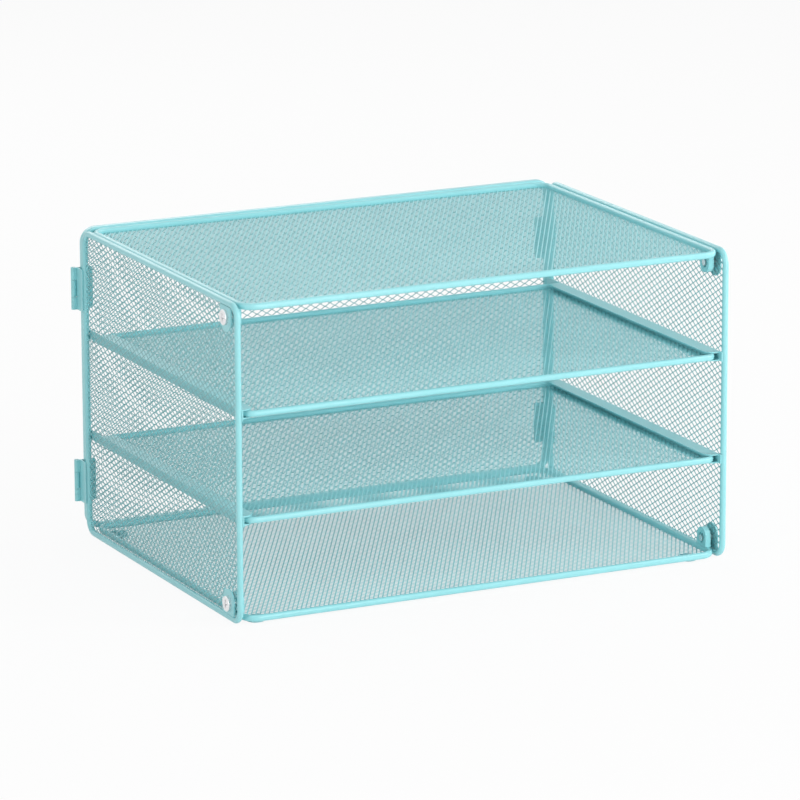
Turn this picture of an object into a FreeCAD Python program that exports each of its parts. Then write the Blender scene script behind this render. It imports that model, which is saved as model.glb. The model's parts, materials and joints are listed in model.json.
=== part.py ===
import FreeCAD, Part
import math
import os
from FreeCAD import Vector

# Desk organizer of sheet steel and expanded mesh: a back panel with two hinged side panels,
# a shallow tray panel on top, a floor panel below, and two trays that slide in C rails.
# Millimetres, +Z up, the front looks along -Y, the origin is under the middle of the whole part.

# Side panels
width = 332.8
side_depth = 234.3
side_height = 197.25
side_lift = 0.1
side_band = 3.8
side_thickness = 3.8
side_corner_radius = 10.0
side_edge_round = 1.5

# Back panel, which stands behind the side panels, its ends a little higher than theirs
back_rise = 0.15
back_lift = 2.0
back_thickness = 5.5
back_band = 3.4
back_corner_radius = 10.0
back_inset = 1.1
back_edge_round = 1.0

# Top and bottom panels, between the side panels
shelf_rim_height = 4.2
shelf_rim_band = 3.4
shelf_corner_radius = 11.0
shelf_edge_round = 1.3
shelf_front_setback = 0.6
shelf_side_gap = 1.3
top_rim_drop = 0.8

# Sliding trays and their rails
tray_rim_height = 4.0
tray_rim_band = 3.4
tray_corner_radius = 8.0
tray_edge_round = 1.2
tray_front_setback = 1.1
tray_rear_gap = 13.2
tray_side_gap = 2.4
tray_play = 0.1
rail_sheet = 0.8
rail_flange_width = 9.2
rail_web_setback = 0.8
rail_front_setback = 3.6
rail_rear_setback = 4.0
rail_flange_shortfall = 15.0
rail_lead_in_radius = 6.5
rail_rear_radius = 2.5
lower_rail_height = 61.5
rail_spacing = 65.25

# Mesh sheets, held in a slot along the inside of each frame
mesh_thickness = 0.8
mesh_tuck = 1.6
slot_end_gap = 0.4
shelf_mesh_height = 0.7
net_long_pitch = 29.0
net_short_pitch = 14.5
net_strand = 3.1
net_margin = 3.0
net_hole_clearance = 3.0

# Front fasteners: a screw through a plate on the side panel into a lug on the rim
screw_setback = 16.6
screw_edge_distance = 10.6
screw_diameter = 4.0
screw_hole_diameter = 4.6
screw_head_diameter = 9.6
screw_head_height = 2.1
screw_tip_overrun = 0.5
screw_recess_length = 5.0
screw_recess_width = 1.1
screw_recess_depth = 1.1
plate_thickness = 0.8
plate_width = 15.0
plate_reach = 19.6
lug_thickness = 3.6
lug_width = 11.0
lug_height = 12.0
lug_recess_margin = 0.8
lug_recess_depth = 1.4

# Hinges between the back panel and the side panels, outside the rear corners
hinge_height = 27.0
hinge_middle_height = 10.7
hinge_sheet = 0.8
hinge_barrel_radius = 1.6
hinge_bore_radius = 1.0
hinge_pin_radius = 0.95
hinge_barrel_setback = 1.6
hinge_side_gap = 0.1
hinge_side_overlap = 3.0
hinge_back_reach = 10.0
hinge_knuckle_gap = 0.2
hinge_leaf_gap = 0.3
hinge_cutout_margin = 0.6
hinge_pin_recess = 0.2
hinge_corner_radius = 1.5
upper_hinge_drop = 39.35
lower_hinge_rise = 33.3

# Feet, stuck under the bottom mesh just inside its rim
foot_diameter = 12.0
foot_clear_height = 1.5
foot_front_setback = 10.2
foot_rear_setback = 16.0
foot_inset_left = 15.4
foot_inset_right = 21.9
foot_edge_round = 0.9

# How far cutting tools run past what they cut, and how near counts as level
overrun = 1.0
tolerance = 0.001

# Places worked out from the sizes
overall_depth = side_depth + back_thickness + hinge_barrel_setback + hinge_barrel_radius
front = -overall_depth / 2
back_face = front + side_depth
rear_face = back_face + back_thickness
outer_left = -width / 2
inner_left = outer_left + side_thickness
shelf_width = width - 2 * (side_thickness + shelf_side_gap)
shelf_depth = side_depth - shelf_front_setback
shelf_mid_y = front + shelf_front_setback + shelf_depth / 2
side_top = side_lift + side_height
back_top = side_top + back_rise
back_height = back_top - back_lift
bottom_rim_base = foot_clear_height
bottom_rim_top = bottom_rim_base + shelf_rim_height
top_rim_base = back_top - top_rim_drop - shelf_rim_height
tray_width = width - 2 * (side_thickness + tray_side_gap)
tray_depth = side_depth - tray_front_setback - tray_rear_gap
tray_mid_y = front + tray_front_setback + tray_depth / 2
rail_height = tray_rim_height + 2 * (rail_sheet + tray_play)
rail_web_length = side_depth - 2 * rail_web_setback
rail_flange_length = side_depth - rail_front_setback - rail_rear_setback - rail_flange_shortfall
mesh_start = (side_thickness - mesh_thickness) / 2
screw_low = side_lift + screw_edge_distance
screw_high = side_top - screw_edge_distance
axis_x = outer_left - hinge_sheet - hinge_side_gap - hinge_barrel_radius
axis_y = rear_face + hinge_barrel_setback

os.makedirs("parts", exist_ok=True)
written = []


def save(name, shape):
    """Writes one piece and checks that it is sound."""
    if not shape.isValid() or shape.Volume <= 0:
        raise ValueError(name + " is not a sound solid")
    shape.exportStep("parts/" + name + ".step")
    written.append(name)
    print(name, "solids", len(shape.Solids), "volume", round(shape.Volume, 1))


def mirrored(shape):
    """The same piece for the other side of the organizer."""
    return shape.mirror(Vector(), Vector(1, 0, 0))


def on_side(shape, x, y, z):
    """Turns a flat piece so that its length runs along Y, its breadth along Z and its depth along X."""
    turned = shape.copy()
    turned.Placement = FreeCAD.Placement(Vector(x, y, z), FreeCAD.Rotation(Vector(1, 1, 1), 120))
    return turned


def on_back(shape, x, y, z):
    """Turns a flat piece so that its breadth runs along Z and its depth towards the front."""
    turned = shape.copy()
    turned.Placement = FreeCAD.Placement(Vector(x, y, z), FreeCAD.Rotation(Vector(1, 0, 0), 90))
    return turned


def lying(shape, x, y, z):
    """Moves a flat piece that stays lying down."""
    moved = shape.copy()
    moved.translate(Vector(x, y, z))
    return moved


def rounded_outline(length, breadth, radius, z=0.0):
    """A rectangle about the origin with round corners."""
    a = length / 2
    b = breadth / 2
    slant = radius * (1 - math.sqrt(0.5))
    edges = []
    for turn in range(4):
        along, across = (a, b) if turn % 2 == 0 else (b, a)
        rotation = FreeCAD.Rotation(Vector(0, 0, 1), 90 * turn)
        start = rotation.multVec(Vector(radius - along, -across, 0))
        end = rotation.multVec(Vector(along - radius, -across, 0))
        middle = rotation.multVec(Vector(along - slant, slant - across, 0))
        corner = rotation.multVec(Vector(along, radius - across, 0))
        edges.append(Part.makeLine(start, end))
        edges.append(Part.Arc(end, middle, corner).toShape())
    wire = Part.Wire(edges)
    wire.translate(Vector(0, 0, z))
    return wire


def slab(length, breadth, radius, z, height):
    """A flat plate with round corners."""
    return Part.Face(rounded_outline(length, breadth, radius, z)).extrude(Vector(0, 0, height))


def flat_edges(shape, *levels):
    """The edges that lie wholly in the given levels."""
    found = []
    for edge in shape.Edges:
        box = edge.BoundBox
        if any(abs(box.ZMin - z) < tolerance and abs(box.ZMax - z) < tolerance for z in levels):
            found.append(edge)
    return found


def frame_ring(length, breadth, radius, band, height, edge_round, slot_z):
    """A closed frame of rounded bar, with a slot round its inside for the edge of a mesh sheet."""
    inner_radius = radius - band
    ring = slab(length, breadth, radius, 0, height)
    ring = ring.cut(slab(length - 2 * band, breadth - 2 * band, inner_radius, -overrun, height + 2 * overrun))
    ring = ring.makeFillet(edge_round, flat_edges(ring, 0, height))
    depth = mesh_tuck + slot_end_gap
    reach = band - depth
    slot = slab(length - 2 * reach, breadth - 2 * reach, inner_radius + depth, slot_z, mesh_thickness)
    return ring.cut(slot).Solids[0]


def diamond(x, y, half_long, half_short):
    """One gap of the net, drawn clockwise because it is a hole."""
    points = [Vector(x - half_long, y), Vector(x, y + half_short), Vector(x + half_long, y)]
    points += [Vector(x, y - half_short), Vector(x - half_long, y)]
    return Part.makePolygon(points)


def net_sheet(length, breadth, radius, band, holes=()):
    """A mesh sheet as a flat net with diamond gaps, its edge tucked into the frame's slot."""
    reach = band - mesh_tuck
    outer = rounded_outline(length - 2 * reach, breadth - 2 * reach, radius - reach)
    inside_x = length - 2 * (band + net_margin)
    inside_y = breadth - 2 * (band + net_margin)
    columns = math.ceil(2 * inside_x / net_long_pitch)
    rows = math.ceil(2 * inside_y / net_short_pitch)
    step_x = inside_x / columns
    step_y = inside_y / rows
    half_long = step_x - net_strand
    half_short = half_long * step_y / step_x
    gaps = []
    for row in range(1, rows):
        y = row * step_y - inside_y / 2
        for column in range(2 - row % 2, columns, 2):
            x = column * step_x - inside_x / 2
            near = [h for h in holes if abs(x - h[0]) < half_long + net_hole_clearance
                    and abs(y - h[1]) < half_short + net_hole_clearance]
            if not near:
                gaps.append(diamond(x, y, half_long, half_short))
    for x, y in holes:
        gaps.append(Part.Wire(Part.makeCircle(screw_hole_diameter / 2, Vector(x, y), Vector(0, 0, -1))))
    print("gaps in the net:", len(gaps))
    return Part.Face([outer] + gaps).extrude(Vector(0, 0, mesh_thickness)).Solids[0]


def side_panel():
    """The left side panel's frame and mesh."""
    mid_y = front + side_depth / 2
    mid_z = side_lift + side_height / 2
    ring = frame_ring(side_depth, side_height, side_corner_radius, side_band, side_thickness,
                      side_edge_round, mesh_start)
    holes = [(front + screw_setback - mid_y, z - mid_z) for z in (screw_low, screw_high)]
    net = net_sheet(side_depth, side_height, side_corner_radius, side_band, holes)
    return on_side(ring, outer_left, mid_y, mid_z), on_side(net, outer_left + mesh_start, mid_y, mid_z)


def back_panel():
    """The back panel's frame and mesh."""
    length = width - 2 * back_inset
    mid_z = back_lift + back_height / 2
    slot = (back_thickness - mesh_thickness) / 2
    ring = frame_ring(length, back_height, back_corner_radius, back_band, back_thickness,
                      back_edge_round, slot)
    net = net_sheet(length, back_height, back_corner_radius, back_band)
    return on_back(ring, 0, rear_face, mid_z), on_back(net, 0, rear_face - slot, mid_z)


def shelf_panel():
    """A top or bottom panel at z = 0: a rim with the mesh near its underside."""
    ring = frame_ring(shelf_width, shelf_depth, shelf_corner_radius, shelf_rim_band, shelf_rim_height,
                      shelf_edge_round, shelf_mesh_height)
    net = net_sheet(shelf_width, shelf_depth, shelf_corner_radius, shelf_rim_band)
    return lying(ring, 0, shelf_mid_y, 0), lying(net, 0, shelf_mid_y, shelf_mesh_height)


def sliding_tray():
    """A tray at z = 0: a rim with the mesh near its underside."""
    ring = frame_ring(tray_width, tray_depth, tray_corner_radius, tray_rim_band, tray_rim_height,
                      tray_edge_round, shelf_mesh_height)
    net = net_sheet(tray_width, tray_depth, tray_corner_radius, tray_rim_band)
    return lying(ring, 0, tray_mid_y, 0), lying(net, 0, tray_mid_y, shelf_mesh_height)


def rail_flange(z):
    """One flange of a rail, round at its front corner so that the tray finds its way in."""
    x0 = inner_left
    x1 = inner_left + rail_flange_width
    y0 = front + rail_front_setback
    y1 = y0 + rail_flange_length
    r = rail_lead_in_radius
    q = rail_rear_radius
    slant = 1 - math.sqrt(0.5)
    edges = [
        Part.makeLine(Vector(x0, y1), Vector(x0, y0)),
        Part.makeLine(Vector(x0, y0), Vector(x1 - r, y0)),
        Part.Arc(Vector(x1 - r, y0), Vector(x1 - r * slant, y0 + r * slant), Vector(x1, y0 + r)).toShape(),
        Part.makeLine(Vector(x1, y0 + r), Vector(x1, y1 - q)),
        Part.Arc(Vector(x1, y1 - q), Vector(x1 - q * slant, y1 - q * slant), Vector(x1 - q, y1)).toShape(),
        Part.makeLine(Vector(x1 - q, y1), Vector(x0, y1)),
    ]
    flange = Part.Face(Part.Wire(edges)).extrude(Vector(0, 0, rail_sheet))
    flange.translate(Vector(0, 0, z))
    return flange


def rail(base):
    """A left rail: a C of sheet whose web lies on the side panel's uprights."""
    corner = Vector(inner_left, front + rail_web_setback, base)
    web = Part.makeBox(rail_sheet, rail_web_length, rail_height, corner)
    flanges = [rail_flange(z) for z in (base, base + rail_height - rail_sheet)]
    return web.fuse(flanges).removeSplitter().Solids[0]


def tongue(breadth, reach, thickness):
    """A plate in the XY plane from the line y = 0 to its round end, centred on x = 0, lying on z = 0."""
    r = breadth / 2
    edges = [
        Part.makeLine(Vector(-r, 0), Vector(r, 0)),
        Part.makeLine(Vector(r, 0), Vector(r, reach - r)),
        Part.Arc(Vector(r, reach - r), Vector(0, reach), Vector(-r, reach - r)).toShape(),
        Part.makeLine(Vector(-r, reach - r), Vector(-r, 0)),
    ]
    return Part.Face(Part.Wire(edges)).extrude(Vector(0, 0, thickness))


def flipped(shape, z):
    """The same piece upside down about the level z."""
    return shape.mirror(Vector(0, 0, z), Vector(0, 0, 1))


def raised(shape, z):
    """The same piece moved up by z."""
    return lying(shape, 0, 0, z)


def screw_plate():
    """The plate on the outer face of the left mesh at the lower front screw."""
    start = side_lift + side_band
    plate = tongue(plate_width, plate_reach - side_band, plate_thickness)
    hole = Part.makeCylinder(screw_hole_diameter / 2, plate_thickness + 2 * overrun,
                             Vector(0, screw_edge_distance - side_band, -overrun))
    return on_side(plate.cut(hole), outer_left + mesh_start - plate_thickness, front + screw_setback, start)


def oblong(radius, z, height):
    """A block with round ends that reaches from the lower screw's place on a lug to the upper screw's."""
    low, high = sorted((screw_low - bottom_rim_top, top_rim_base - screw_high))
    high = max(high, low + tolerance)
    right = Vector(radius, low, z)
    left = Vector(-radius, high, z)
    edges = [
        Part.makeLine(right, Vector(radius, high, z)),
        Part.Arc(Vector(radius, high, z), Vector(0, high + radius, z), left).toShape(),
        Part.makeLine(left, Vector(-radius, low, z)),
        Part.Arc(Vector(-radius, low, z), Vector(0, low - radius, z), right).toShape(),
    ]
    return Part.Face(Part.Wire(edges)).extrude(Vector(0, 0, height))


def lug():
    """The left lug, standing at z = 0, with one slot and recess that suit the upper and the lower screw."""
    block = tongue(lug_width, lug_height, lug_thickness)
    slot = oblong(screw_hole_diameter / 2, -overrun, lug_thickness + 2 * overrun)
    recess = oblong(screw_hole_diameter / 2 + lug_recess_margin, lug_thickness - lug_recess_depth,
                    lug_recess_depth + overrun)
    lug_shape = block.cut(slot).cut(recess).removeSplitter().Solids[0]
    return on_side(lug_shape, inner_left + shelf_side_gap, front + screw_setback, 0)


def screw():
    """The lower left screw: a low domed head with a cross recess on a plain shank."""
    r = screw_head_diameter / 2
    h = screw_head_height
    ball = (r * r + h * h) / (2 * h)
    dome = Part.makeSphere(ball, Vector(0, 0, ball - h), Vector(0, 0, 1))
    head = dome.common(Part.makeCylinder(r, h, Vector(0, 0, -h)))
    groove = Part.makeBox(screw_recess_length, screw_recess_width, screw_recess_depth + overrun,
                          Vector(-screw_recess_length / 2, -screw_recess_width / 2, -h - overrun))
    for angle in (0, 90):
        head = head.cut(groove.rotated(Vector(), Vector(0, 0, 1), angle))
    start = mesh_start - plate_thickness
    end = side_thickness + shelf_side_gap + lug_thickness + screw_tip_overrun
    shank = Part.makeCylinder(screw_diameter / 2, end - start)
    body = head.fuse(shank).removeSplitter().Solids[0]
    return on_side(body, outer_left + start, front + screw_setback, screw_low)


def barrel(base, height):
    """A stretch of the hinge barrel on the left hinge axis."""
    centre = Vector(axis_x, axis_y, base)
    return Part.makeCylinder(hinge_barrel_radius, height, centre)


def bore(base, height):
    """The bore through the hinge barrel."""
    return Part.makeCylinder(hinge_bore_radius, height + 2 * overrun, Vector(axis_x, axis_y, base - overrun))


def side_leaf(middle):
    """The hinge leaf on the left side panel's outer face, with the middle knuckle."""
    base = middle - hinge_height / 2
    knuckle_base = middle - hinge_middle_height / 2
    x0 = outer_left - hinge_sheet
    y0 = back_face - hinge_side_overlap
    plate = Part.makeBox(hinge_sheet, rear_face - hinge_leaf_gap - y0, hinge_height, Vector(x0, y0, base))
    plate = plate.makeFillet(hinge_corner_radius, [
        e for e in plate.Edges
        if e.BoundBox.YLength + e.BoundBox.ZLength < hinge_sheet / 2 and e.BoundBox.YMax < y0 + hinge_sheet
    ])
    web_y = axis_y - hinge_sheet / 2
    tab = Part.makeBox(hinge_sheet, web_y + hinge_sheet - back_face, hinge_middle_height,
                       Vector(x0, back_face, knuckle_base))
    web = Part.makeBox(outer_left - axis_x, hinge_sheet, hinge_middle_height,
                       Vector(axis_x, web_y, knuckle_base))
    leaf = plate.fuse([tab, web, barrel(knuckle_base, hinge_middle_height)])
    return leaf.cut(bore(knuckle_base, hinge_middle_height)).removeSplitter().Solids[0]


def back_leaf(middle):
    """The hinge leaf on the back panel's rear face, with the two end knuckles."""
    base = middle - hinge_height / 2
    cut_base = middle - hinge_middle_height / 2 - hinge_knuckle_gap
    cut_height = hinge_middle_height + 2 * hinge_knuckle_gap
    reach = outer_left + hinge_back_reach
    plate = Part.makeBox(reach - axis_x, hinge_sheet, hinge_height, Vector(axis_x, rear_face, base))
    plate = plate.makeFillet(hinge_corner_radius, [
        e for e in plate.Edges
        if e.BoundBox.XLength + e.BoundBox.ZLength < hinge_sheet / 2 and e.BoundBox.XMin > reach - hinge_sheet
    ])
    past = hinge_barrel_radius + overrun
    cutout = Part.makeBox(outer_left + hinge_cutout_margin - axis_x + past, 2 * past, cut_height,
                          Vector(axis_x - past, axis_y - past, cut_base))
    leaf = plate.fuse(barrel(base, hinge_height)).cut(cutout)
    return leaf.cut(bore(base, hinge_height)).removeSplitter().Solids[0]


def hinge_pin(middle):
    """The pin through the three knuckles."""
    height = hinge_height - 2 * hinge_pin_recess
    return Part.makeCylinder(hinge_pin_radius, height, Vector(axis_x, axis_y, middle - height / 2))


def foot(x, y):
    """A round pad under the bottom mesh."""
    height = bottom_rim_base + shelf_mesh_height
    pad = Part.makeCylinder(foot_diameter / 2, height, Vector(x, y, 0))
    return pad.makeFillet(foot_edge_round, flat_edges(pad, 0))


# Panels
left_frame, left_net = side_panel()
save("left_side_frame", left_frame)
save("left_side_mesh", left_net)
save("right_side_frame", mirrored(left_frame))
save("right_side_mesh", mirrored(left_net))
back_ring, back_net = back_panel()
save("back_frame", back_ring)
save("back_mesh", back_net)
shelf_rim, shelf_net = shelf_panel()
for name, base in (("top", top_rim_base), ("bottom", bottom_rim_base)):
    save(name + "_panel_rim", raised(shelf_rim, base))
    save(name + "_panel_mesh", raised(shelf_net, base))

# Trays and rails
tray_rim, tray_net = sliding_tray()
for name, base in (("lower", lower_rail_height), ("upper", lower_rail_height + rail_spacing)):
    save(name + "_tray_rim", raised(tray_rim, base + rail_sheet + tray_play))
    save(name + "_tray_mesh", raised(tray_net, base + rail_sheet + tray_play))
    save("left_" + name + "_rail", rail(base))
    save("right_" + name + "_rail", mirrored(rail(base)))

# Front fasteners
middle_height = side_lift + side_height / 2
for side in ("left", "right"):
    turn = mirrored if side == "right" else Part.Shape.copy
    save(side + "_bottom_screw_plate", turn(screw_plate()))
    save(side + "_top_screw_plate", turn(flipped(screw_plate(), middle_height)))
    save(side + "_bottom_lug", turn(raised(lug(), bottom_rim_top)))
    save(side + "_top_lug", turn(raised(flipped(lug(), 0), top_rim_base)))
    save(side + "_bottom_screw", turn(screw()))
    save(side + "_top_screw", turn(flipped(screw(), middle_height)))

# Hinges
for side in ("left", "right"):
    turn = mirrored if side == "right" else Part.Shape.copy
    for level, middle in (("upper", side_top - upper_hinge_drop), ("lower", side_lift + lower_hinge_rise)):
        save(side + "_" + level + "_hinge_side_leaf", turn(side_leaf(middle)))
        save(side + "_" + level + "_hinge_back_leaf", turn(back_leaf(middle)))
        save(side + "_" + level + "_hinge_pin", turn(hinge_pin(middle)))

# Feet
for place, y in (("front", front + foot_front_setback), ("rear", back_face - foot_rear_setback)):
    save(place + "_left_foot", foot(outer_left + foot_inset_left, y))
    save(place + "_right_foot", foot(-outer_left - foot_inset_right, y))

print(len(written), "pieces; left hinge axis at", round(axis_x, 2), round(axis_y, 2))
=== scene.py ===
import json
import math

import bmesh
import bpy
from mathutils import Matrix, Vector


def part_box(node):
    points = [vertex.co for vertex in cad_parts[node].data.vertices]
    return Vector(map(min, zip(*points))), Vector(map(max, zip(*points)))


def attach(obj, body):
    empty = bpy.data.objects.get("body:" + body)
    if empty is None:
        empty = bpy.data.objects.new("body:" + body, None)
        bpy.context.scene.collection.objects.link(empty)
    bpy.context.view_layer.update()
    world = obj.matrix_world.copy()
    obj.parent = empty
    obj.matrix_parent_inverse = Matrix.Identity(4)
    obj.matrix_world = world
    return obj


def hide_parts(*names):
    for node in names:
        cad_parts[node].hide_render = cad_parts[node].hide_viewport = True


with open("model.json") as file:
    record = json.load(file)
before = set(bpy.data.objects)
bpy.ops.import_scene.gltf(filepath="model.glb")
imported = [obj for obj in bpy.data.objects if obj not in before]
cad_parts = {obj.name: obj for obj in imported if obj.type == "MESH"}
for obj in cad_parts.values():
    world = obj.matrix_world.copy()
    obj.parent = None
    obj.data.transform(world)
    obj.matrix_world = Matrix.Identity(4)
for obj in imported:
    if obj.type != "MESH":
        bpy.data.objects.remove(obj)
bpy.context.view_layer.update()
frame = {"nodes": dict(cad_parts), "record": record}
mm = 0.001

# Camera, fitted to the picture's own perspective
camera_place = (-1.43874, -2.94321, 0.92434)
camera_yaw = math.radians(26.054)
camera_pitch = math.radians(14.230)
camera_roll = math.radians(-0.1746)
camera_lens = 243.63
sensor_width = 36.0
camera_clip = (0.05, 50.0)

# Expanded mesh: pitches along and across the long way, half a bond's height, its reach, rise and thickness
side_weave = dict(long=7.11, short=4.06, half=0.36, reach=0.64, corners=6, rise=0.04, sheet=0.30)
back_weave = dict(long=6.86, short=3.90, half=0.33, reach=0.60, corners=6, rise=0.04, sheet=0.30)
shelf_weave = dict(long=5.35, short=3.02, half=0.37, reach=0.54, corners=4, rise=0.28, sheet=0.38)

# Bars of the frames: band seen square on, corner radius outside and edge radius; and the mesh's tuck into them
side_bar = dict(band=3.8, corner=10.0, edge=1.85)
back_bar = dict(band=3.4, corner=10.0, edge=1.3)
shelf_bar = dict(band=3.4, corner=11.0, edge=1.6)
tray_bar = dict(band=3.4, corner=8.0, edge=1.6)
tuck = 1.6
chamfer_share = 0.4
edge_segments = 4
corner_steps = 10

# Pan-head screws: height of the head, its rolled edge and flat margin, cross recess and plain shank
head_height = 2.1
head_roll = 0.5
head_margin = 0.1
head_segments = 48
recess_length = 5.2
recess_width = 1.2
recess_depth = 1.2
recess_taper = 0.8
shank_radius = 2.0
shank_segments = 24
crease_angle = math.radians(35)

# Merging and cutting distances in mm, and a quarter turn
merge_distance = 0.01
cut_distance = 0.001
fine_cut_distance = 0.0001
quarter = math.radians(90)


def new_piece(name, bm, body, replaced=()):
    """Makes a finished bmesh an object that rides on a body."""
    mesh = bpy.data.meshes.new(name)
    bm.to_mesh(mesh)
    bm.free()
    piece = bpy.data.objects.new(name, mesh)
    bpy.context.scene.collection.objects.link(piece)
    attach(piece, body)
    if replaced:
        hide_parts(*replaced)
    return piece


def everything(bm):
    return bm.verts[:] + bm.edges[:] + bm.faces[:]


def bond_with_strands(bm, weave):
    """One bond of expanded metal, tilted, with the two strands that leave it to the right."""
    half, reach = weave["half"], weave["reach"]
    bmesh.ops.create_circle(bm, cap_ends=True, segments=weave["corners"], radius=1.0)
    if weave["corners"] == 6:
        bmesh.ops.rotate(bm, verts=bm.verts[:], matrix=Matrix.Rotation(quarter, 3, "Z"))
    tall = max(v.co.y for v in bm.verts)
    bmesh.ops.scale(bm, verts=bm.verts[:], vec=(reach, half / tall, 1.0))
    lean = Matrix.Identity(4)
    lean[2][1] = weave["rise"] / half
    bmesh.ops.transform(bm, verts=bm.verts[:], matrix=lean)
    tip = max(bm.verts, key=lambda v: v.co.x)
    for edge in list(tip.link_edges):
        corner = edge.other_vert(tip)
        turn = 1.0 if corner.co.y > 0 else -1.0
        run = weave["long"] / 2 - reach - corner.co.x
        climb = turn * (weave["short"] / 2 - half)
        pulled = bmesh.ops.extrude_edge_only(bm, edges=[edge])
        moved = [g for g in pulled["geom"] if isinstance(g, bmesh.types.BMVert)]
        bmesh.ops.translate(bm, verts=moved, vec=(run, climb, -turn * weave["rise"]))


def repeat(bm, count, step):
    """Repeats all there is, count times in all, each a step further."""
    row = everything(bm)
    for number in range(1, count):
        made = bmesh.ops.duplicate(bm, geom=row)
        verts = [g for g in made["geom"] if isinstance(g, bmesh.types.BMVert)]
        bmesh.ops.translate(bm, verts=verts, vec=Vector(step) * number)


def cut_away(bm, point, outward):
    bmesh.ops.bisect_plane(bm, geom=everything(bm), dist=cut_distance, plane_co=point, plane_no=outward,
                           clear_outer=True)


def expanded_sheet(length, breadth, corner, weave):
    """A flat sheet of expanded metal about the origin, long way along X, cut to a rectangle with chamfered corners."""
    bm = bmesh.new()
    bond_with_strands(bm, weave)
    made = bmesh.ops.duplicate(bm, geom=everything(bm))
    verts = [g for g in made["geom"] if isinstance(g, bmesh.types.BMVert)]
    bmesh.ops.translate(bm, verts=verts, vec=(weave["long"] / 2, weave["short"] / 2, 0))
    columns = math.ceil(length / weave["long"]) + 2
    rows = math.ceil(breadth / weave["short"]) + 2
    repeat(bm, columns, (weave["long"], 0, 0))
    repeat(bm, rows, (0, weave["short"], 0))
    shift = (-columns * weave["long"] / 2, -rows * weave["short"] / 2, 0)
    bmesh.ops.translate(bm, verts=bm.verts[:], vec=shift)
    bmesh.ops.remove_doubles(bm, verts=bm.verts[:], dist=merge_distance)
    for sign in (-1, 1):
        cut_away(bm, (sign * length / 2, 0, 0), (sign, 0, 0))
        cut_away(bm, (0, sign * breadth / 2, 0), (0, sign, 0))
        for other in (-1, 1):
            chord = (sign * (length / 2 - corner), other * breadth / 2, 0)
            cut_away(bm, chord, (sign, other, 0))
    bmesh.ops.recalc_face_normals(bm, faces=bm.faces[:])
    return bm


def mesh_panel(node, frame_node, body, bar, weave, coat, lie):
    """An expanded sheet that stands for the node's plain net, its edge tucked into the bar of the frame."""
    size = lie(Vector()).inverted() @ centre_mm(frame_node)[1]
    shrink = 2 * (bar["band"] - tuck)
    bm = expanded_sheet(abs(size.x) - shrink, abs(size.y) - shrink, bar["corner"] * chamfer_share, weave)
    bmesh.ops.transform(bm, verts=bm.verts[:], matrix=Matrix.Scale(mm, 4) @ lie(centre_mm(node)[0]))
    piece = new_piece("expanded_" + node, bm, body, [node])
    wall = piece.modifiers.new("sheet", "SOLIDIFY")
    wall.thickness = weave["sheet"] * mm
    wall.offset = 0.0
    wall.use_even_offset = False
    piece.data.materials.append(coat)


def centre_mm(node):
    low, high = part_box(node)
    return (low + high) / 2 / mm, (high - low) / mm


def lay_flat(middle):
    """Long way front to back, as on the panels that lie level."""
    return Matrix.Translation(middle) @ Matrix.Rotation(quarter, 4, "Z")


def stand_across(middle):
    """Long way from left to right, facing the front, as on the back."""
    return Matrix.Translation(middle) @ Matrix.Rotation(quarter, 4, "X")


def stand_along(middle):
    """Long way front to back, standing, as on the sides."""
    return Matrix.Translation(middle) @ Matrix.Rotation(quarter, 4, "Z") @ Matrix.Rotation(
        quarter, 4, "X")


def bar_loop(length, breadth, depth, bar):
    """A closed bar about the origin, flat in XY, its section as deep along Z as given, with round edges."""
    band, edge = bar["band"], bar["edge"]
    sides = (length / 2 - bar["corner"], breadth / 2 - bar["corner"])
    bm = bmesh.new()
    bmesh.ops.create_grid(bm, x_segments=1, y_segments=1, size=0.5)
    bmesh.ops.scale(bm, verts=bm.verts[:], vec=(depth, band, 1))
    bmesh.ops.bevel(bm, geom=bm.verts[:], offset=edge, segments=edge_segments, profile=0.5, affect="VERTICES",
                    material=-1)
    bmesh.ops.delete(bm, geom=bm.faces[:], context="FACES_ONLY")
    start = Matrix.Translation((-sides[0], band / 2 - breadth / 2, 0)) @ Matrix.Rotation(quarter, 4, "Y")
    bmesh.ops.transform(bm, verts=bm.verts[:], matrix=start)
    end = bm.edges[:]
    for turn in range(4):
        along, across = (sides if turn % 2 == 0 else sides[::-1])
        heading = Matrix.Rotation(quarter * turn, 3, "Z")
        pulled = bmesh.ops.extrude_edge_only(bm, edges=end)["geom"]
        moved = {g for g in pulled if isinstance(g, bmesh.types.BMVert)}
        bmesh.ops.translate(bm, verts=list(moved), vec=heading @ Vector((2 * along, 0, 0)))
        end = [g for g in pulled if isinstance(g, bmesh.types.BMEdge) and moved.issuperset(g.verts)]
        spun = bmesh.ops.spin(bm, geom=list(moved) + end, cent=heading @ Vector((along, -across, 0)), axis=(0, 0, 1),
                              dvec=(0, 0, 0), angle=quarter, steps=corner_steps, use_duplicate=False)
        end = [g for g in spun["geom_last"] if isinstance(g, bmesh.types.BMEdge)]
    bmesh.ops.remove_doubles(bm, verts=bm.verts[:], dist=merge_distance)
    bmesh.ops.recalc_face_normals(bm, faces=bm.faces[:])
    return bm


def bar_frame(node, body, bar, lie):
    """A round-edged bar frame in the place of the node's, laid by lie; it closes over the edge of the mesh."""
    middle, size = centre_mm(node)
    flat = lie(Vector()).inverted() @ size
    length, breadth, depth = (abs(part) for part in flat)
    bm = bar_loop(length, breadth, depth, bar)
    bmesh.ops.transform(bm, verts=bm.verts[:], matrix=Matrix.Scale(mm, 4) @ lie(middle))
    piece = new_piece("rounded_" + node, bm, body, [node])
    piece.data.materials.append(frame_coat)
    piece.data.shade_smooth()


def highest_face(bm):
    """The largest of the faces that lie highest."""
    return max(bm.faces, key=lambda f: (round(f.calc_center_median().z, 3), f.calc_area()))


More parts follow.
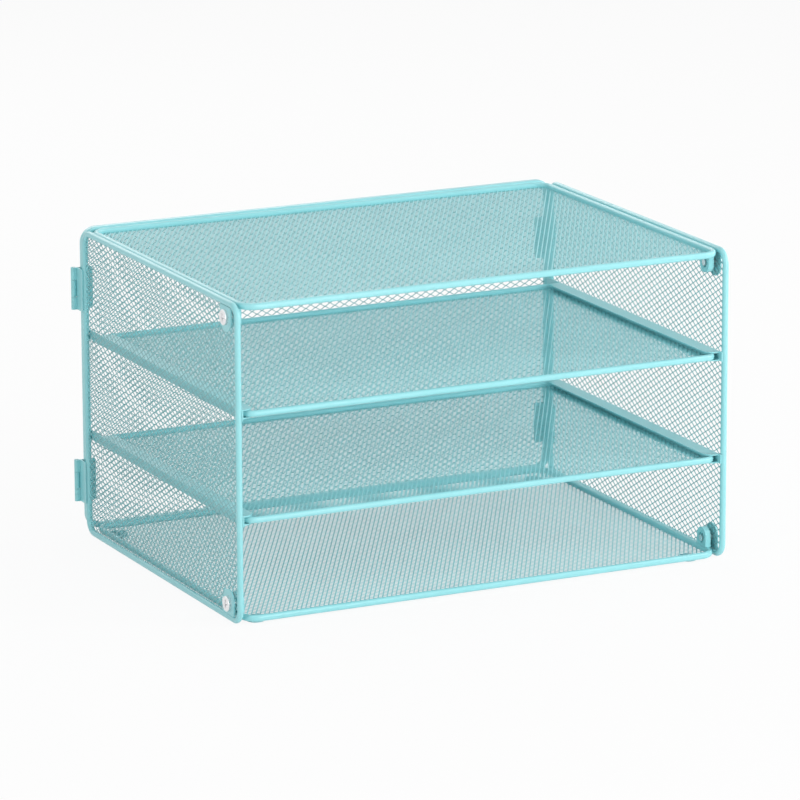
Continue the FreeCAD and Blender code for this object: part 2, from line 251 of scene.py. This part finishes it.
def pan_screw(name, node, body, side):
    """A pan-head screw with a cross recess, its head against the plate where the CAD screw's is."""
    middle, size = centre_mm(node)
    bm = bmesh.new()
    bmesh.ops.create_circle(bm, cap_ends=True, segments=head_segments, radius=size.y / 2)
    raised = bmesh.ops.extrude_face_region(bm, geom=bm.faces[:])["geom"]
    bmesh.ops.translate(bm, verts=[g for g in raised if isinstance(g, bmesh.types.BMVert)], vec=(0, 0, head_height))
    rim = [g for g in raised if isinstance(g, bmesh.types.BMEdge)]
    bmesh.ops.bevel(bm, geom=rim, offset=head_roll, segments=edge_segments, profile=0.5, affect="EDGES", material=-1)
    top = highest_face(bm)
    bmesh.ops.inset_region(bm, faces=[top], thickness=head_margin)
    top = highest_face(bm)
    pieces = [top, *top.edges, *top.verts]
    for place in (recess_width / 2, recess_length / 2):
        for sign in (-1, 1):
            for axis in (Vector((1, 0, 0)), Vector((0, 1, 0))):
                pieces = bmesh.ops.bisect_plane(bm, geom=pieces, dist=fine_cut_distance,
                                                plane_co=axis * place * sign, plane_no=axis)["geom"]
    cross = []
    for face in pieces:
        if isinstance(face, bmesh.types.BMFace):
            across, along = sorted(abs(part) for part in face.calc_center_median()[:2])
            if across < recess_width / 2 and along < recess_length / 2:
                cross.append(face)
    sunk = bmesh.ops.extrude_face_region(bm, geom=cross)["geom"]
    verts = [g for g in sunk if isinstance(g, bmesh.types.BMVert)]
    bmesh.ops.translate(bm, verts=verts, vec=(0, 0, -recess_depth))
    bmesh.ops.scale(bm, verts=verts, vec=(recess_taper, recess_taper, 1.0))
    bmesh.ops.delete(bm, geom=[face for face in cross if face.is_valid], context="FACES")
    length = size.x - head_height
    bmesh.ops.create_cone(bm, cap_ends=True, segments=shank_segments, radius1=shank_radius, radius2=shank_radius,
                          depth=length, matrix=Matrix.Translation((0, 0, -length / 2)))
    bmesh.ops.recalc_face_normals(bm, faces=bm.faces[:])
    seat = middle + Vector((side * (size.x / 2 - head_height), 0, 0))
    turn = Matrix.Rotation(quarter * side, 4, "Y")
    bmesh.ops.transform(bm, verts=bm.verts[:], matrix=Matrix.Scale(mm, 4) @ Matrix.Translation(seat) @ turn)
    piece = new_piece(name, bm, body, [node])
    piece.data.materials.append(screw_steel)
    piece.data.shade_smooth()
    piece.data.set_sharp_from_angle(angle=crease_angle)


# Materials: sizes of the noise in them, depth of the orange peel in metres, clear layer and spread of roughness
cloud_scale = 18.0
cloud_detail = 3.0
cloud_stops = (0.3, 0.7)
peel_detail = 2.0
peel_depth = 0.0002
peel_spread = (-0.05, 0.07)
steel_grain = 900.0
steel_spread = (-0.06, 0.08)
steel_metallic = 0.9
coat_weight = 0.15
coat_roughness = 0.12


def shader_nodes(name):
    material = bpy.data.materials.new(name)
    material.use_nodes = True
    nodes, links = material.node_tree.nodes, material.node_tree.links
    return material, nodes, links, nodes["Principled BSDF"]


def noise(nodes, links, scale, detail):
    """Noise in object coordinates."""
    place = nodes.new("ShaderNodeTexCoord")
    pattern = nodes.new("ShaderNodeTexNoise")
    pattern.inputs["Scale"].default_value = scale
    pattern.inputs["Detail"].default_value = detail
    links.new(place.outputs["Object"], pattern.inputs["Vector"])
    return pattern.outputs["Fac"]


def uneven_roughness(nodes, links, shader, pattern, roughness, spread):
    """Lets a pattern spread the roughness about its plain value."""
    dull = nodes.new("ShaderNodeMapRange")
    dull.inputs["To Min"].default_value = roughness + spread[0]
    dull.inputs["To Max"].default_value = roughness + spread[1]
    links.new(pattern, dull.inputs["Value"])
    links.new(dull.outputs["Result"], shader.inputs["Roughness"])


def powder_coat(name, colour, dark, grain, bump, roughness):
    """Glossy powder coat: near even colour with a slight cloud, and a fine orange peel."""
    material, nodes, links, shader = shader_nodes(name)
    cloud = noise(nodes, links, cloud_scale, cloud_detail)
    ramp = nodes.new("ShaderNodeValToRGB")
    for stop, (position, shade) in zip(ramp.color_ramp.elements, zip(cloud_stops, (dark, colour))):
        stop.position = position
        stop.color = (*shade, 1)
    links.new(cloud, ramp.inputs["Fac"])
    links.new(ramp.outputs["Color"], shader.inputs["Base Color"])
    peel = noise(nodes, links, grain, peel_detail)
    relief = nodes.new("ShaderNodeBump")
    relief.inputs["Strength"].default_value = bump
    relief.inputs["Distance"].default_value = peel_depth
    links.new(peel, relief.inputs["Height"])
    links.new(relief.outputs["Normal"], shader.inputs["Normal"])
    uneven_roughness(nodes, links, shader, peel, roughness, peel_spread)
    shader.inputs["Coat Weight"].default_value = coat_weight
    shader.inputs["Coat Roughness"].default_value = coat_roughness
    return material


def bright_steel(name, shade, roughness):
    """Bare metal whose shine varies a little."""
    material, nodes, links, shader = shader_nodes(name)
    streak = noise(nodes, links, steel_grain, peel_detail)
    uneven_roughness(nodes, links, shader, streak, roughness, steel_spread)
    shader.inputs["Base Color"].default_value = (*shade, 1)
    shader.inputs["Metallic"].default_value = steel_metallic
    return material


frame_coat = powder_coat("aqua_powder_coat", (0.34, 0.76, 0.80), (0.31, 0.73, 0.77), 1400.0, 0.25, 0.30)
mesh_coat = powder_coat("aqua_mesh_coat", (0.34, 0.74, 0.78), (0.30, 0.69, 0.73), 2500.0, 0.2, 0.34)
# The standing meshes of the back and sides get a darker copy of the same mesh coat: painted shade for the shade their
# strands fall in.
upright_mesh_painted_shade = powder_coat("aqua_mesh_coat_with_painted_shade", (0.26, 0.55, 0.575), (0.23, 0.51, 0.535), 2500.0, 0.2, 0.34)
screw_steel = bright_steel("bright_screw_steel", (0.82, 0.82, 0.83), 0.28)
pin_steel = bright_steel("hinge_pin_steel", (0.55, 0.57, 0.58), 0.35)
pad_rubber = powder_coat("soft_pad", (0.34, 0.75, 0.79), (0.31, 0.71, 0.75), 900.0, 0.3, 0.5)
finishes = {"frame_steel": frame_coat, "mesh": mesh_coat, "screw_steel": screw_steel,
            "pin_steel": pin_steel, "foot_pad": pad_rubber}

# Bar frames, each with its expanded mesh
for panel, node, body, bar, weave, coat, lie in (
    ("top_panel", "top_panel_rim", "frame", shelf_bar, shelf_weave, mesh_coat, lay_flat),
    ("bottom_panel", "bottom_panel_rim", "frame", shelf_bar, shelf_weave, mesh_coat, lay_flat),
    ("lower_tray", "lower_tray_rim", "lower_tray", tray_bar, shelf_weave, mesh_coat, lay_flat),
    ("upper_tray", "upper_tray_rim", "upper_tray", tray_bar, shelf_weave, mesh_coat, lay_flat),
    ("back", "back_frame", "frame", back_bar, back_weave, upright_mesh_painted_shade, stand_across),
    ("left_side", "left_side_frame", "left_side", side_bar, side_weave, upright_mesh_painted_shade, stand_along),
    ("right_side", "right_side_frame", "right_side", side_bar, side_weave, upright_mesh_painted_shade, stand_along),
):
    bar_frame(node, body, bar, lie)
    mesh_panel(panel + "_mesh", node, body, bar, weave, coat, lie)

# Screws
for side, sign in (("left", -1), ("right", 1)):
    for level in ("top", "bottom"):
        pan_screw(side + "_" + level + "_pan_screw", side + "_" + level + "_screw", side + "_side", sign)

# Finishes of the CAD's own pieces
slot_of = {row["node"]: row["material_slot"] for row in frame["record"]["subparts"]}
for name, piece in frame["nodes"].items():
    coat = finishes.get(slot_of.get(name, "frame_steel"), frame_coat)
    piece.data.materials.clear()
    piece.data.materials.append(coat)

# Stage: white floor that keeps a faint shadow, and white surroundings
floor_reach = 6.0
floor_shade = 0.9
floor_roughness = 0.9
floor_glow_share = 0.92
sky_strength = 0.35
backdrop_strength = 1.0


def seen_by(nodes, links, first, *others):
    """1 for the kinds of ray named, else 0."""
    path = nodes.new("ShaderNodeLightPath")
    seen = path.outputs[first]
    for kind in others:
        either = nodes.new("ShaderNodeMath")
        either.operation = "MAXIMUM"
        links.new(seen, either.inputs[0])
        links.new(path.outputs[kind], either.inputs[1])
        seen = either.outputs[0]
    return seen


def mixed(nodes, links, share, plain, glowing):
    """One shader mixed into another by a share."""
    both = nodes.new("ShaderNodeMixShader")
    links.new(share, both.inputs["Fac"])
    links.new(plain, both.inputs[1])
    links.new(glowing, both.inputs[2])
    return both.outputs["Shader"]


bm = bmesh.new()
bmesh.ops.create_grid(bm, x_segments=1, y_segments=1, size=floor_reach)
mesh = bpy.data.meshes.new("floor")
bm.to_mesh(mesh)
bm.free()
floor = bpy.data.objects.new("floor", mesh)
bpy.context.scene.collection.objects.link(floor)
white, nodes, links, shader = shader_nodes("white_floor")
shader.inputs["Base Color"].default_value = (floor_shade, floor_shade, floor_shade, 1)
shader.inputs["Roughness"].default_value = floor_roughness
glow = nodes.new("ShaderNodeEmission")
share = nodes.new("ShaderNodeMath")
share.operation = "MULTIPLY"
share.inputs[1].default_value = floor_glow_share
links.new(seen_by(nodes, links, "Is Camera Ray", "Is Glossy Ray"), share.inputs[0])
both = mixed(nodes, links, share.outputs[0], shader.outputs["BSDF"], glow.outputs["Emission"])
links.new(both, nodes["Material Output"].inputs["Surface"])
floor.data.materials.append(white)

world = bpy.data.worlds.new("studio")
bpy.context.scene.world = world
world.use_nodes = True
nodes, links = world.node_tree.nodes, world.node_tree.links
sky = nodes["Background"]
backdrop = nodes.new("ShaderNodeBackground")
for background, strength in ((sky, sky_strength), (backdrop, backdrop_strength)):
    background.inputs["Color"].default_value = (1, 1, 1, 1)
    background.inputs["Strength"].default_value = strength
seen = seen_by(nodes, links, "Is Camera Ray", "Is Glossy Ray", "Is Transmission Ray")
both = mixed(nodes, links, seen, sky.outputs["Background"], backdrop.outputs["Background"])
links.new(both, nodes["World Output"].inputs["Surface"])

# Lamps
lamp_target = Vector((0, 0, 0.1))


def soft_light(name, place, power, size):
    """An area lamp that faces the middle of the object."""
    lamp = bpy.data.lights.new(name, "AREA")
    lamp.energy = power
    lamp.shape = "RECTANGLE"
    lamp.size, lamp.size_y = size
    holder = bpy.data.objects.new(name, lamp)
    bpy.context.scene.collection.objects.link(holder)
    holder.location = place
    holder.rotation_euler = (lamp_target - Vector(place)).to_track_quat("-Z", "Y").to_euler()


for row in (
    ("key_right_front", (1.3, -1.0, 0.9), 12.0, (0.5, 1.0)),
    ("front_softbox", (0.3, -2.0, 0.4), 13.0, (0.8, 0.8)),
    ("right_softbox", (1.7, 0.1, 0.3), 8.0, (0.8, 0.8)),
    ("rear_softbox", (0.1, 1.6, 1.0), 6.0, (1.4, 0.6)),
    ("top_softbox", (-0.1, 0.1, 1.5), 3.0, (1.2, 1.0)),
    ("left_fill", (-1.5, -0.8, 0.6), 6.0, (0.6, 1.0)),
):
    soft_light(*row)

# Camera
ahead = Vector((math.sin(camera_yaw) * math.cos(camera_pitch), math.cos(camera_yaw) * math.cos(camera_pitch),
                -math.sin(camera_pitch)))
across = Vector((math.cos(camera_yaw), -math.sin(camera_yaw), 0))
upright = across.cross(ahead)
turned_across = across * math.cos(camera_roll) + upright * math.sin(camera_roll)
turned_upright = upright * math.cos(camera_roll) - across * math.sin(camera_roll)
lens = bpy.data.cameras.new("camera")
lens.lens = camera_lens
lens.sensor_width = sensor_width
lens.clip_start, lens.clip_end = camera_clip
camera = bpy.data.objects.new("camera", lens)
bpy.context.scene.collection.objects.link(camera)
turn = Matrix((turned_across, turned_upright, -ahead)).transposed().to_4x4()
camera.matrix_world = Matrix.Translation(camera_place) @ turn
bpy.context.scene.camera = camera
bpy.context.scene.view_settings.view_transform = "Standard"
